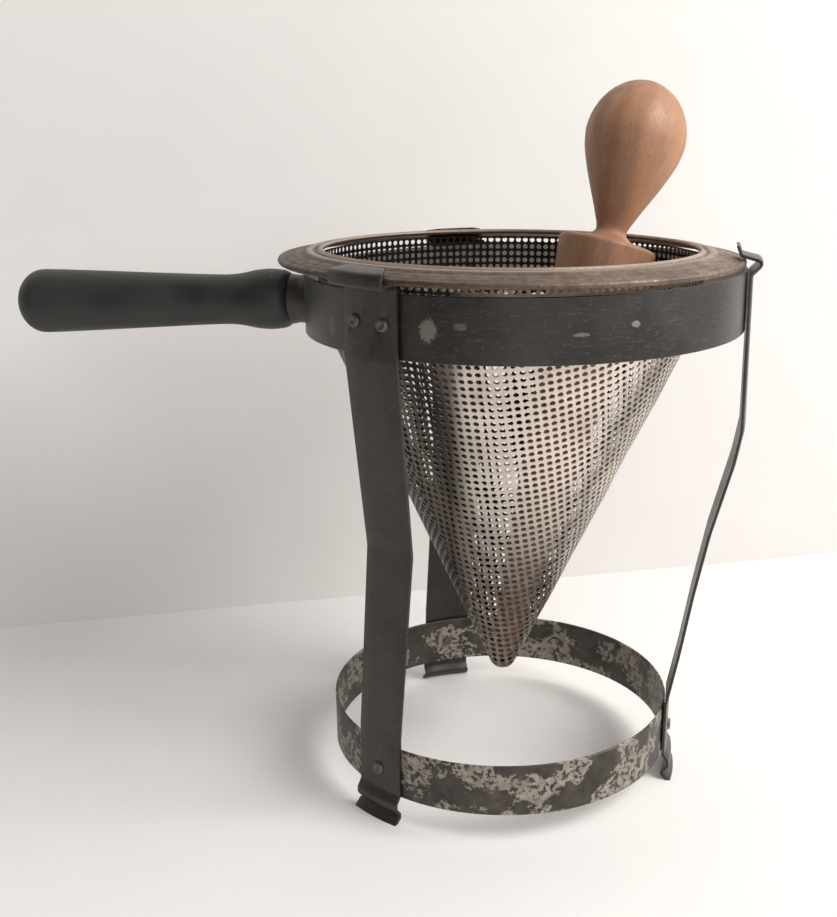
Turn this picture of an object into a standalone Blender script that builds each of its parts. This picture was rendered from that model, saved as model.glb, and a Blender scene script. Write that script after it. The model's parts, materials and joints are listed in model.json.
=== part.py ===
"""Cone potato ricer: a perforated cone sieve held in a three-legged strap stand, with its wooden pestle.

Frame: +Z up, z = 0 on the table. The stand's upright axis runs through the middle of the rim; the
hoops and the sieve sit a little off it and a little tilted, as hand-bent strap does.
The spring catch is on +X and the handle on -X. The model is moved along X at the end, so that its
origin lies under the middle of its outline.
"""
from math import acos, atan2, cos, hypot, pi, radians, sin, sqrt, tan

import bmesh
import bpy
from mathutils import Matrix, Vector

MM = 0.001

# Driving dimensions, in millimetres and degrees.
GAP = 0.3                      # clearance between pieces that touch
TURN_SEGMENTS = 64             # facets round the large rings
RING_RADIUS = 77.7             # base ring, outside
RING_LOW, RING_HIGH = 11.8, 34.9
RING_SHIFT = -1.3              # the stand is hand bent: its hoops are a little off the sieve's centre, along X
RING_TILT = (0.8, 173.0)       # and a little out of level: how much, and the direction in which they sink
RING_RIVETS = 22.5
SHEET = 1.1                    # thickness of ring and band
BAND_RADIUS = 93.8             # upper band, outside
BAND_LOW, BAND_HIGH = 207.9, 233.1
BAND_SHIFT = 6.0
BAND_TILT = (1.4, 140.0)
RIM_RADIUS = 98.9              # rim, over its outer bead
BEAD_RADIUS = 1.3
BEAD_HEIGHT = 236.8            # centre of the outer bead
SIEVE_TILT = (1.4, 99.0)       # the sieve sits a little cocked in its hooks
RIDGE = 4.0                    # the heights of the sieve's own outlines are counted from the outer bead's centre
MOUTH_RADIUS = 79.8            # inner bead of the rim
CONE_APEX = -198.9             # where the outer lines of the cone would meet
CONE_SLOPE = 0.463             # radius gained per unit of height
CONE_FOOT = -187.9             # where the cone ends in its cap
COLLAR_RADIUS = 82.0           # straight part of the sieve wall, outside
COLLAR_HIGH = 1.2
WALL = 0.6                     # sieve sheet
STRIP = 1.2                    # leg strip thickness
STRIP_WIDE, STRIP_NARROW = 28.0, 23.6   # the strips taper downwards
STRIP_EASE = 0.6               # a fixed leg leans, so it stands this much further off the band at its middle
STRIP_CURVE = 88.0             # the strips are rolled across their width to about the radius they sit on
FRONT_LEG = (-120.0, -118.8, -121.7)    # the way a fixed leg faces, its band end and its ring end, from the catch
BACK_LEG = (120.0, 118.6, 120.6)
HINGE_HEIGHT = 37.6            # the catch strip flexes just above the base ring
RIVET_SHANK = 1.5
RIVET_HOLE = 1.8
RIVET_HEAD = 2.8
HANDLE_HEIGHT = 219.4          # handle axis, carried on to the stand's axis
HANDLE_DROOP = 2.4
HANDLE_SEAT = 98.2             # distance from the stand's axis to the bolster end of the grip
GRIP_LENGTH = 135.5
BOLT_RADIUS = 2.5
BOLT_BORE = 2.9
PESTLE_LEAN = 18.3
PESTLE_HEADING = 51.8          # the way it leans, from the catch
PESTLE_TIP = 5.0               # radius of the pestle's blunt tip
PESTLE_FOOT = 54.2             # height of the tip's centre
PESTLE_FOOT_OFFSET = 4.4       # the cone's foot is this far off the stand's axis, because the sieve sits cocked
SHOULDER_AT = 198.5            # along the pestle from its tip
NECK_AT = 204.3
KNOB_AT = 246.8
PESTLE_LENGTH = 272.8
SHOULDER_RADIUS = 22.4
NECK_RADIUS = 7.0
KNOB_RADIUS = 22.7

STEEL = ((0.035, 0.032, 0.030), 0.55, 0.9)
RING_STEEL = ((0.075, 0.068, 0.060), 0.6, 0.8)
RIM_METAL = ((0.20, 0.155, 0.125), 0.5, 0.8)
SIEVE_METAL = ((0.50, 0.48, 0.44), 0.35, 1.0)
PAINT = ((0.022, 0.030, 0.025), 0.45, 0.0)
BEECH = ((0.56, 0.33, 0.20), 0.6, 0.0)


def clear_scene():
    for item in list(bpy.data.objects):
        bpy.data.objects.remove(item, do_unlink=True)


def material(name, finish):
    colour, roughness, metallic = finish
    made = bpy.data.materials.new(name)
    made.use_nodes = True
    shader = made.node_tree.nodes["Principled BSDF"]
    shader.inputs["Base Color"].default_value = (*colour, 1.0)
    shader.inputs["Roughness"].default_value = roughness
    shader.inputs["Metallic"].default_value = metallic
    return made


def add_object(name, bm, finish, parent=None, sharp=35.0):
    """Turn a bmesh in millimetres into a named object in metres."""
    bmesh.ops.remove_doubles(bm, verts=bm.verts, dist=1e-5)
    bmesh.ops.recalc_face_normals(bm, faces=bm.faces)
    bmesh.ops.scale(bm, vec=(MM, MM, MM), verts=bm.verts)
    mesh = bpy.data.meshes.new(name)
    bm.to_mesh(mesh)
    bm.free()
    mesh.shade_smooth()
    mesh.set_sharp_from_angle(angle=radians(sharp))
    item = bpy.data.objects.new(name, mesh)
    bpy.context.collection.objects.link(item)
    mesh.materials.append(material(name, finish))
    item.parent = parent
    return item


def add_empty(name, place=(0.0, 0.0, 0.0), turn=(0.0, 0.0, 0.0), parent=None):
    item = bpy.data.objects.new(name, None)
    item.location = [value * MM for value in place]
    item.rotation_euler = [radians(value) for value in turn]
    item.parent = parent
    bpy.context.collection.objects.link(item)
    return item


# ---------------------------------------------------------------- outlines

def arc(centre, radius, start, stop, steps):
    """Points on an arc in an outline's own plane, angles in degrees."""
    points = []
    for i in range(steps + 1):
        angle = radians(start + (stop - start) * i / steps)
        points.append((centre[0] + radius * cos(angle), centre[1] + radius * sin(angle)))
    return points


def rounded(points, radii, steps=4):
    """Round the inner corners of an open outline with arcs of the given radii."""
    path = [points[0]]
    for i in range(1, len(points) - 1):
        here = Vector(points[i])
        back = (Vector(points[i - 1]) - here).normalized()
        ahead = (Vector(points[i + 1]) - here).normalized()
        opening = acos(max(-1.0, min(1.0, back.dot(ahead))))
        radius = radii[i - 1]
        if radius == 0.0 or opening > radians(176.0):
            path.append(tuple(here))
            continue
        reach = radius / tan(opening / 2.0)
        centre = here + (back + ahead).normalized() * (radius / sin(opening / 2.0))
        first = (here + back * reach - centre).normalized()
        last = (here + ahead * reach - centre).normalized()
        for k in range(steps + 1):
            share = k / steps
            spoke = first.slerp(last, share) * radius
            path.append(tuple(centre + spoke))
    path.append(points[-1])
    return path


def lengths(path):
    total = [0.0]
    for one, two in zip(path, path[1:]):
        total.append(total[-1] + hypot(two[0] - one[0], two[1] - one[1]))
    return total


def smooth_curve(knots, steps):
    """Catmull-Rom curve through the knots."""
    padded = [knots[0]] + list(knots) + [knots[-1]]
    points = []
    for i in range(1, len(padded) - 2):
        p0, p1, p2, p3 = padded[i - 1:i + 3]
        for k in range(steps):
            t = k / steps
            points.append(tuple(
                0.5 * (2 * b + (c - a) * t + (2 * a - 5 * b + 4 * c - d) * t ** 2 + (3 * b - a - 3 * c + d) * t ** 3)
                for a, b, c, d in zip(p0, p1, p2, p3)))
    points.append(tuple(knots[-1]))
    return points


# ------------------------------------------------------------ solid makers

def turned(outline, segments, closed=False):
    """A solid of revolution about Z from (radius, height) points."""
    bm = bmesh.new()
    rings = []
    for radius, height in outline:
        if radius < 1e-6:
            rings.append([bm.verts.new((0.0, 0.0, height))])
        else:
            rings.append([bm.verts.new((radius * cos(2 * pi * k / segments), radius * sin(2 * pi * k / segments),
                                        height)) for k in range(segments)])
    pairs = list(zip(rings, rings[1:]))
    if closed:
        pairs.append((rings[-1], rings[0]))
    for one, two in pairs:
        for k in range(segments):
            corners = []
            for vert in (one[k % len(one)], one[(k + 1) % len(one)], two[(k + 1) % len(two)], two[k % len(two)]):
                if vert not in corners:
                    corners.append(vert)
            bm.faces.new(corners)
    return bm


def swept_strip(path, width_at, lean_at, heading):
    """A leg strip: its middle line is path, in (radius, height), thickened and given a rolled width."""
    across = 4
    run = lengths(path)
    bm = bmesh.new()
    outward = Vector((cos(radians(heading)), sin(radians(heading)), 0.0))
    sideways = Vector((-outward.y, outward.x, 0.0))
    rows = []
    for i, (radius, height) in enumerate(path):
        before = Vector(path[max(i - 1, 0)])
        after = Vector(path[min(i + 1, len(path) - 1)])
        here = Vector(path[i])
        if 0 < i < len(path) - 1:
            one, two = (here - before).normalized(), (after - here).normalized()
            along = (one + two).normalized()
            stretch = 1.0 / max(0.5, along.dot(two))
        else:
            along, stretch = (after - before).normalized(), 1.0
        normal = Vector((along.y, -along.x)) * (STRIP / 2.0 * stretch)
        if i in (0, len(path) - 1) and abs(along.y) > 0.4:
            normal = Vector((STRIP / 2.0 / along.y, 0.0))
        half = width_at(run[i], height) / 2.0
        row = []
        for side in (1.0, -1.0):
            line = []
            for k in range(across + 1):
                offset = half * (2.0 * k / across - 1.0)
                rolled = STRIP_CURVE - sqrt(STRIP_CURVE ** 2 - offset ** 2)
                spot = outward * (radius - rolled + side * normal.x) + sideways * (offset + lean_at(height))
                line.append(bm.verts.new((spot.x, spot.y, height + side * normal.y)))
            row.append(line)
        rows.append(row)
    for upper, lower in zip(rows, rows[1:]):
        for side in (0, 1):
            for k in range(across):
                bm.faces.new((upper[side][k], upper[side][k + 1], lower[side][k + 1], lower[side][k]))
        for k in (0, across):
            bm.faces.new((upper[0][k], upper[1][k], lower[1][k], lower[0][k]))
    for row in (rows[0], rows[-1]):
        for k in range(across):
            bm.faces.new((row[0][k], row[0][k + 1], row[1][k + 1], row[1][k]))
    return bm


def drill(item, radius, spot, direction, length=12.0):
    """Cut a round hole through item; spot and direction are in the stand's frame."""
    bm = turned([(0.0, -length / 2), (radius, -length / 2), (radius, length / 2), (0.0, length / 2)], 14)
    cutter = add_object("cutter", bm, STEEL, item.parent)
    cutter.location = [value * MM for value in spot]
    cutter.rotation_mode = "QUATERNION"
    cutter.rotation_quaternion = Vector(direction).to_track_quat("Z", "Y")
    cutter.hide_render = True
    cutter.display_type = "WIRE"
    hole = item.modifiers.new("hole", "BOOLEAN")
    hole.operation = "DIFFERENCE"
    hole.solver = "EXACT"
    hole.object = cutter


def add_rivet(name, parent, spot, direction, grip):
    """A rivet whose head sits at spot and whose shank runs back along direction through grip millimetres."""
    head = arc((0.0, GAP), RIVET_HEAD, 90.0, 0.0, 3)
    head = [(radius, GAP + (height - GAP) * 0.45) for radius, height in head]
    back = -(grip + GAP)
    tail = [(RIVET_SHANK, back), (2.4, back), (2.1, back - 0.7), (0.0, back - 0.9)]
    bm = turned(head + [(RIVET_SHANK, GAP)] + tail, 14)
    rivet = add_object(name, bm, STEEL, parent)
    rivet.location = [value * MM for value in spot]
    rivet.rotation_mode = "QUATERNION"
    rivet.rotation_quaternion = Vector(direction).to_track_quat("Z", "Y")
    return rivet


# ------------------------------------------------------------------- stand

def compass(angle):
    return Vector((cos(radians(angle)), sin(radians(angle)), 0.0))


def rise(radius, tilt, angle):
    """How far a hoop that is out of level stands above its middle in the given direction."""
    amount, low_side = tilt
    return -radius * tan(radians(amount)) * cos(radians(angle - low_side))


def set_tilt(item, tilt):
    amount, low_side = tilt
    upright = Vector((0.0, 0.0, 1.0))
    item.rotation_mode = "QUATERNION"
    item.rotation_quaternion = upright.rotation_difference(upright + compass(low_side) * tan(radians(amount)))


def strip_width(height):
    share = max(0.0, min(1.0, (height - 100.0) / 60.0))
    return STRIP_NARROW + (STRIP_WIDE - STRIP_NARROW) * share


def add_hoop(name, radius, low, high, shift, tilt, finish, parent):
    """A hoop of sheet metal, made about its own middle and then set off centre and out of level."""
    edge, half = 0.35, (high - low) / 2
    outline = [(radius - SHEET, edge - half), (radius - SHEET + edge, -half), (radius - edge, -half),
               (radius, edge - half), (radius, half - edge), (radius - edge, half), (radius - SHEET + edge, half),
               (radius - SHEET, half - edge)]
    hoop = add_object(name, turned(outline, TURN_SEGMENTS, closed=True), finish, parent)
    hoop.location = (shift * MM, 0.0, (low + high) / 2 * MM)
    set_tilt(hoop, tilt)
    return hoop


def foot_outline(strip_radius):
    """The end of every leg below the ring: a rolled bead, a crease and a flared lip that stands on the table."""
    return [(strip_radius, RING_LOW + 0.8), (strip_radius + 2.3, RING_LOW - 2.6), (strip_radius + 2.3, 6.6),
            (strip_radius - 0.3, 3.4), (strip_radius + 3.3, 0.0)]


FOOT_BENDS = [2.0, 1.5, 1.5, 1.0]


def foot_width(height):
    return strip_width(height) + (1.0 if height < 3.0 else 0.0)


def add_fixed_leg(name, angles, parent):
    heading, band_end, ring_end = angles
    outward, sideways = compass(heading), compass(heading + 90.0)
    top = compass(band_end) * BAND_RADIUS + Vector((BAND_SHIFT, 0.0, 0.0))
    foot = compass(ring_end) * RING_RADIUS + Vector((RING_SHIFT, 0.0, 0.0))
    top_lean, foot_lean = top.dot(sideways), foot.dot(sideways)
    on_band = top.dot(outward) + GAP + STRIP_EASE + STRIP / 2
    on_ring = foot.dot(outward) + GAP + STRIP_EASE / 2 + STRIP / 2
    hook = RIM_RADIUS + 1.6
    bead = BEAD_HEIGHT + rise(RIM_RADIUS, SIEVE_TILT, heading)
    ledge = bead - BEAD_RADIUS - 1.15
    corners = [(hook - 7.6, bead + 3.9), (hook, bead + 2.5), (hook, ledge), (on_band, ledge),
               (on_band, BAND_LOW - 1.0), (on_ring - 1.6, 124.0), (on_ring, 40.0)] + foot_outline(on_ring)
    path = rounded(corners, [1.3, 1.3, 1.2, 9.0, 14.0, 20.0] + FOOT_BENDS)

    def lean_at(height):
        share = max(0.0, min(1.0, (height - RING_HIGH) / (BAND_LOW - RING_HIGH)))
        return foot_lean + (top_lean - foot_lean) * share

    def width_at(run, height):
        if run < 4.0:
            return STRIP_WIDE - 10.0 * (1.0 - sin(pi / 2 * run / 4.0))
        return foot_width(height)

    leg = add_object(name, swept_strip(path, width_at, lean_at, heading), STEEL, parent)
    rivets = []
    level = (BAND_LOW + BAND_HIGH) / 2 + rise(BAND_RADIUS, BAND_TILT, heading) + 0.8
    for label, offset in (("a", -7.4), ("b", 7.4)):
        rolled = STRIP_CURVE - sqrt(STRIP_CURVE ** 2 - offset ** 2)
        face = outward * (on_band + STRIP / 2 - rolled) + sideways * (top_lean + offset)
        rivets.append((f"band_rivet_{name[:-4]}_{label}", face + Vector((0.0, 0.0, level)),
                       (face - Vector((BAND_SHIFT, 0.0, 0.0))).normalized(), "upper_band"))
    face = outward * (on_ring + STRIP / 2) + sideways * foot_lean
    rivets.append((f"ring_rivet_{name[:-4]}", face + Vector((0.0, 0.0, RING_RIVETS)), outward, "base_ring"))
    for rivet_name, spot, direction, hoop in rivets:
        drill(leg, RIVET_HOLE, spot, direction)
        drill(bpy.data.objects[hoop], RIVET_HOLE, spot, direction)
        add_rivet(rivet_name, parent, spot, direction, STRIP + GAP + STRIP_EASE + SHEET + 0.25)
    return leg


def add_catch(stand):
    """The third strip is riveted to the ring only: its upper part springs outward at the ring."""
    on_ring = RING_RADIUS + RING_SHIFT + GAP + STRIP_EASE / 2 + STRIP / 2
    upright = BAND_RADIUS + BAND_SHIFT + 0.9 + STRIP / 2
    bead = BEAD_HEIGHT + rise(RIM_RADIUS, SIEVE_TILT, 0.0)
    corners = [(95.2, bead + 7.2), (96.7, bead + 3.4), (106.3, bead + 1.0), (upright, bead - 4.2), (upright + 1.2, 168.0),
               (100.0, 153.0), (91.8, 120.0), (86.3, 90.0), (82.0, 62.0), (on_ring, HINGE_HEIGHT + GAP / 2)]
    path = rounded(corners, [1.4, 1.5, 2.5, 14.0, 22.0, 60.0, 60.0, 60.0])

    def width_at(run, height):
        if run < 24.0:
            return 15.0 + (STRIP_WIDE - 15.0) * max(0.0, run - 9.0) / 15.0
        return strip_width(height)

    hinge = add_empty("catch_hinge", (on_ring, 0.0, HINGE_HEIGHT), parent=stand)
    blade = swept_strip(path, width_at, lambda height: 0.0, 0.0)
    bmesh.ops.translate(blade, vec=(-on_ring, 0.0, -HINGE_HEIGHT), verts=blade.verts)
    add_object("catch_leg", blade, STEEL, hinge)
    foot_path = rounded([(on_ring, HINGE_HEIGHT - GAP / 2)] + foot_outline(on_ring), FOOT_BENDS)
    foot = add_object("catch_foot", swept_strip(foot_path, lambda run, height: foot_width(height),
                                                lambda height: 0.0, 0.0), STEEL, stand)
    spot = Vector((on_ring + STRIP / 2, 0.0, RING_RIVETS))
    drill(foot, RIVET_HOLE, spot, (1.0, 0.0, 0.0))
    drill(bpy.data.objects["base_ring"], RIVET_HOLE, spot, (1.0, 0.0, 0.0))
    add_rivet("ring_rivet_catch", stand, spot, (1.0, 0.0, 0.0), STRIP + GAP + STRIP_EASE / 2 + SHEET + 0.1)


# ------------------------------------------------------------------ handle

def add_handle(stand):
    """Grip, ferrule and bolt share one axis, which droops a little away from the band."""
    axis = add_empty("handle_axis", (0.0, 0.0, HANDLE_HEIGHT), (0.0, -90.0 - HANDLE_DROOP, 0.0), stand)
    band_face = BAND_RADIUS - BAND_SHIFT
    ferrule = turned([(BOLT_BORE, 82.0), (11.4, 82.0), (11.4, band_face + 2.6), (10.9, band_face + 3.6),
                      (10.7, HANDLE_SEAT - 3.2), (11.3, HANDLE_SEAT - GAP), (BOLT_BORE, HANDLE_SEAT - GAP)],
                     28, closed=True)
    ferrule = add_object("handle_ferrule", ferrule, STEEL, axis)
    trim = turned([(0.0, -60.0), (BAND_RADIUS + GAP, -60.0), (BAND_RADIUS + GAP, 60.0), (0.0, 60.0)], 144)
    trim = add_object("ferrule_trim", trim, STEEL, stand)
    trim.location = (BAND_SHIFT * MM, 0.0, HANDLE_HEIGHT * MM)
    trim.hide_render = True
    trim.display_type = "WIRE"
    cut = ferrule.modifiers.new("fit_to_band", "BOOLEAN")
    cut.operation = "DIFFERENCE"
    cut.solver = "EXACT"
    cut.object = trim
    knots = [(10.6, 0.3), (12.8, 3.2), (13.6, 9.5), (13.2, 16.5), (11.9, 23.5), (11.3, 31.0), (11.7, 46.0),
             (13.2, 80.0), (14.5, 110.0), (14.9, 122.0)]
    end_round = [(14.9 * cos(radians(a)), GRIP_LENGTH - 12.0 + 12.0 * sin(radians(a))) for a in (15, 32, 50, 68)]
    bore = [(0.0, 46.0), (BOLT_BORE, 45.0), (BOLT_BORE, 0.0), (9.6, 0.0)]
    outline = bore + smooth_curve(knots, 2) + end_round + [(0.0, GRIP_LENGTH)]
    add_object("handle_grip", turned([(radius, along + HANDLE_SEAT) for radius, along in outline], 28), PAINT, axis)
    inner_face = band_face - SHEET - GAP
    bolt = [(0.0, inner_face - 2.3), (2.6, inner_face - 2.1), (4.6, inner_face - 1.1), (5.2, inner_face),
            (BOLT_RADIUS, inner_face), (BOLT_RADIUS, HANDLE_SEAT + 42.0), (0.0, HANDLE_SEAT + 44.0)]
    add_object("handle_bolt", turned(bolt, 16), STEEL, axis)
    drop = Vector((-cos(radians(HANDLE_DROOP)), 0.0, -sin(radians(HANDLE_DROOP))))
    drill(bpy.data.objects["upper_band"], BOLT_BORE, Vector((0.0, 0.0, HANDLE_HEIGHT)) + drop * band_face, drop)


# ------------------------------------------------------------------- sieve

def cone_radius(height):
    return (height - CONE_APEX) * CONE_SLOPE


def add_sieve(stand):
    turntable = add_empty("sieve_axis", (0.0, 0.0, BEAD_HEIGHT), parent=stand)
    set_tilt(turntable, SIEVE_TILT)
    inset = WALL / cos(atan2(CONE_SLOPE, 1.0))
    shoulder = CONE_APEX + COLLAR_RADIUS / CONE_SLOPE
    levels = (CONE_FOOT, -140.0, -80.0)
    bend = (COLLAR_RADIUS - 1.0, shoulder - 2.1)
    outer = [(cone_radius(level), level) for level in levels]
    outer += [bend, (COLLAR_RADIUS, shoulder + 2.0), (COLLAR_RADIUS, COLLAR_HIGH)]
    inner = [(COLLAR_RADIUS - WALL, COLLAR_HIGH), (COLLAR_RADIUS - WALL, shoulder + 2.1),
             (bend[0] - inset * 0.95, bend[1])]
    inner += [(cone_radius(level) - inset, level) for level in reversed(levels)]
    add_object("sieve_cone", turned(outer + inner, TURN_SEGMENTS, closed=True), SIEVE_METAL, turntable)

    # The cap is a small dished cup pressed over the cut end of the cone.
    foot = CONE_FOOT - GAP
    reach = cone_radius(CONE_FOOT)
    cap = [(0.0, foot - 2.6), (reach * 0.45, foot - 2.3), (reach * 0.85, foot - 1.2), (reach + 0.2, foot - 0.2),
           (reach, foot), (reach * 0.8, foot), (reach * 0.7, foot - 0.7), (0.0, foot - 1.8)]
    add_object("sieve_tip", turned(cap, 24), SIEVE_METAL, turntable)

    # The rim: inner bead, groove, ridge, sloping flange and rolled outer bead. The collar is folded up into it.
    bead = RIM_RADIUS - BEAD_RADIUS
    inner_bead = arc((MOUTH_RADIUS + 1.1, RIDGE - 0.4), 1.1, 250.0, 60.0, 5)
    ridge = [(83.1, RIDGE - 0.6), (84.3, RIDGE - 0.1), (85.6, RIDGE), (87.0, RIDGE - 0.3)]
    outer_bead = arc((bead, 0.0), BEAD_RADIUS, 100.0, -150.0, 6)
    underside = [(bead - 1.6, 0.1), (87.0, RIDGE - 1.3), (84.2, RIDGE - 1.5)]
    add_object("sieve_rim", turned(inner_bead + ridge + outer_bead + underside, TURN_SEGMENTS, closed=True),
               RIM_METAL, turntable)


# ------------------------------------------------------------------ pestle

def add_pestle(stand):
    """One turned piece: blunt taper, shoulder, thin neck and pear-shaped knob. Its origin is its tip's centre."""
    foot = compass(SIEVE_TILT[1] + 180.0) * PESTLE_FOOT_OFFSET
    holder = add_empty("pestle_axis", (foot.x, foot.y, PESTLE_FOOT), parent=stand)
    lean = Matrix.Rotation(radians(PESTLE_HEADING), 4, "Z") @ Matrix.Rotation(radians(PESTLE_LEAN), 4, "Y")
    holder.rotation_euler = lean.to_euler()
    tip = [(PESTLE_TIP * sin(radians(a)), PESTLE_TIP - PESTLE_TIP * cos(radians(a))) for a in (0, 28, 56)]
    body = [(PESTLE_TIP + 0.2, 5.5), (9.6, 50.0), (14.2, 105.0), (18.6, 160.0),
            (SHOULDER_RADIUS, SHOULDER_AT - 1.2), (SHOULDER_RADIUS - 0.9, SHOULDER_AT)]
    neck = smooth_curve([(19.0, SHOULDER_AT + 0.6), (10.2, SHOULDER_AT + 2.6), (NECK_RADIUS, NECK_AT),
                         (9.4, NECK_AT + 7.0), (13.6, NECK_AT + 16.0), (17.9, NECK_AT + 25.5),
                         (21.4, NECK_AT + 35.0), (KNOB_RADIUS, KNOB_AT)], 2)
    cap = [(KNOB_RADIUS * cos(radians(a)), KNOB_AT + (PESTLE_LENGTH - KNOB_AT) * sin(radians(a)))
           for a in (14, 28, 42, 56, 72)]
    outline = tip + body + neck + cap + [(0.0, PESTLE_LENGTH)]
    add_object("pestle", turned([(radius, along - PESTLE_TIP) for radius, along in outline], 32), BEECH, holder)


def centre_under_outline(root):
    """Move the whole model along X and Y until the middle of its bounding box is over the origin."""
    bpy.context.view_layer.update()
    graph = bpy.context.evaluated_depsgraph_get()
    spots = []
    for item in bpy.data.objects:
        if item.type == "MESH" and not item.hide_render:
            done = item.evaluated_get(graph)
            spots += [done.matrix_world @ vert.co for vert in done.data.vertices]
    for axis in (0, 1):
        values = [spot[axis] for spot in spots]
        root.location[axis] -= (min(values) + max(values)) / 2
    bpy.context.view_layer.update()


def main():
    clear_scene()
    stand = add_empty("stand_axis")
    add_hoop("upper_band", BAND_RADIUS, BAND_LOW, BAND_HIGH, BAND_SHIFT, BAND_TILT, STEEL, stand)
    add_hoop("base_ring", RING_RADIUS, RING_LOW, RING_HIGH, RING_SHIFT, RING_TILT, RING_STEEL, stand)
    add_fixed_leg("front_leg", FRONT_LEG, stand)
    add_fixed_leg("back_leg", BACK_LEG, stand)
    add_catch(stand)
    add_handle(stand)
    add_sieve(stand)
    add_pestle(stand)
    centre_under_outline(stand)


main()
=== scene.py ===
"""Cone potato ricer: the look of its perforated sieve, rolled rim, strap stand, painted handle and beech pestle.

Laid out as an add-on, run as a script. Units are metres, +Z is up, and z = 0 is the table.
"""
import json
from math import atan, atan2, cos, hypot, pi, radians, sin, tan

import bpy
from mathutils import Matrix, Vector, noise


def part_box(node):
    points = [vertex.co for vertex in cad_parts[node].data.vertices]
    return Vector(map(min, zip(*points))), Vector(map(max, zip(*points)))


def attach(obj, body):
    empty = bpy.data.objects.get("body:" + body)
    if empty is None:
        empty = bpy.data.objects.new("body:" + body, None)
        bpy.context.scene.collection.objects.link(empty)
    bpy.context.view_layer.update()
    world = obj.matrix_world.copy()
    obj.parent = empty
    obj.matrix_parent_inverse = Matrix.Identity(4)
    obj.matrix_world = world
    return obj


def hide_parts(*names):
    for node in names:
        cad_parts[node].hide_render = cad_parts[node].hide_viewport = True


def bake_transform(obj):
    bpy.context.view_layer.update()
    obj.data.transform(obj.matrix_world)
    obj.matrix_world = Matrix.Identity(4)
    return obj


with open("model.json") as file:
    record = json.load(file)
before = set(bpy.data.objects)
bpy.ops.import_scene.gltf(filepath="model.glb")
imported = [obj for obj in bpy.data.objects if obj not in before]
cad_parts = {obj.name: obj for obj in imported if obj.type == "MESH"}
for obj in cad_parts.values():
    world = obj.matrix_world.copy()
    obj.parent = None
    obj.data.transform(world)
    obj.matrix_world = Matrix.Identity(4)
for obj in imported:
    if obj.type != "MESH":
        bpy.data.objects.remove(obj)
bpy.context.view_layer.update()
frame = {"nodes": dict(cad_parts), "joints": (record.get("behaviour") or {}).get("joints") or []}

bl_info = {
    "name": "Cone Potato Ricer",
    "version": (1, 0, 0),
    "blender": (4, 5, 0),
    "location": "View3D > Sidebar > Ricer",
    "description": "Builds a perforated cone sieve in its strap stand, with its pestle",
    "category": "Object",
}

MM = 0.001
UP = Vector((0.0, 0.0, 1.0))
JOINTS = {joint["name"]: joint for joint in frame["joints"]}

# The stand's upright axis passes through the middle of the sieve's rim.
RIM_MIDDLE = Vector(JOINTS["sieve_turn"]["pos_m"])
SIEVE_AXIS = Vector(JOINTS["sieve_turn"]["axis"]).normalized()
STAND_X, STAND_Y = RIM_MIDDLE.x, RIM_MIDDLE.y
PESTLE_AXIS = Vector(JOINTS["pestle_lift"]["axis"]).normalized()
PESTLE_FOOT = Vector((STAND_X + 0.000688, STAND_Y - 0.004346, 0.0542))
HINGE = Vector(JOINTS["catch_open"]["pos_m"])

# The cone, in millimetres. Heights are counted from the middle of the rim, along the sieve's own axis.
CONE_APEX = -198.9
CONE_SLOPE = 0.463
CONE_FOOT = -187.9
COLLAR_RADIUS = 82.0
COLLAR_TOP = 1.2
SHOULDER = CONE_APEX + COLLAR_RADIUS / CONE_SLOPE
HALF_ANGLE = atan(CONE_SLOPE)
SEAM_HEADING = -127.0
ROWS_LEVEL_AT = -96.0

# The level direction along which two finishes are shaded, across the camera's view.
SHADE_DIRECTION = (0.988, 0.156, 0.0)

# The stand, in millimetres and degrees.
BAND_RADIUS, BAND_LOW, BAND_HIGH, BAND_SHIFT, BAND_TILT = 93.8, 207.9, 233.1, 6.0, (1.4, 140.0)
RING_RADIUS, RING_LOW, RING_HIGH, RING_SHIFT, RING_TILT = 77.7, 11.8, 34.9, -1.3, (0.8, 173.0)
SHEET = 1.1
HANDLE_HEIGHT, HANDLE_DROOP, HANDLE_SEAT, GRIP_LENGTH = 219.4, 2.4, 98.2, 135.5
BOLT_BORE = 2.9


# ------------------------------------------------------------ what a user would change

class RicerSieve(bpy.types.PropertyGroup):
    pitch: bpy.props.FloatProperty(name="Hole pitch", description="Distance between neighbouring holes",
                                   default=3.4 * MM, min=2.6 * MM, max=8.0 * MM, unit="LENGTH")
    hole: bpy.props.FloatProperty(name="Hole size", description="Diameter of the punched holes",
                                  default=2.5 * MM, min=0.8 * MM, max=5.0 * MM, unit="LENGTH")
    wall: bpy.props.FloatProperty(name="Sheet thickness", description="Thickness of the perforated sheet",
                                  default=0.5 * MM, min=0.2 * MM, max=1.0 * MM, unit="LENGTH")
    tin: bpy.props.StringProperty(name="Tin colour", description="Bright tinned sheet, as a hex value",
                                  default="#d9cfc4")
    # This colour gives the painted shade low on the cone, and the dull tin of the foot cap.
    dull_and_shade_tint: bpy.props.StringProperty(name="Grime colour", description="Dulled tin low on the cone, as a hex value",
                                    default="#6b6158")


class RicerStand(bpy.types.PropertyGroup):
    steel: bpy.props.StringProperty(name="Steel colour", description="Blackened strap steel, as a hex value",
                                    default="#272422")
    rubbed: bpy.props.StringProperty(name="Rubbed colour", description="Steel where the black is worn, as a hex value",
                                     default="#67625c")
    flake: bpy.props.StringProperty(name="Tin flake colour", description="Old tin left on the base ring",
                                    default="#aaa398")
    rim: bpy.props.StringProperty(name="Rim colour", description="Aged sheet of the rim, as a hex value",
                                  default="#a5907d")


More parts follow.
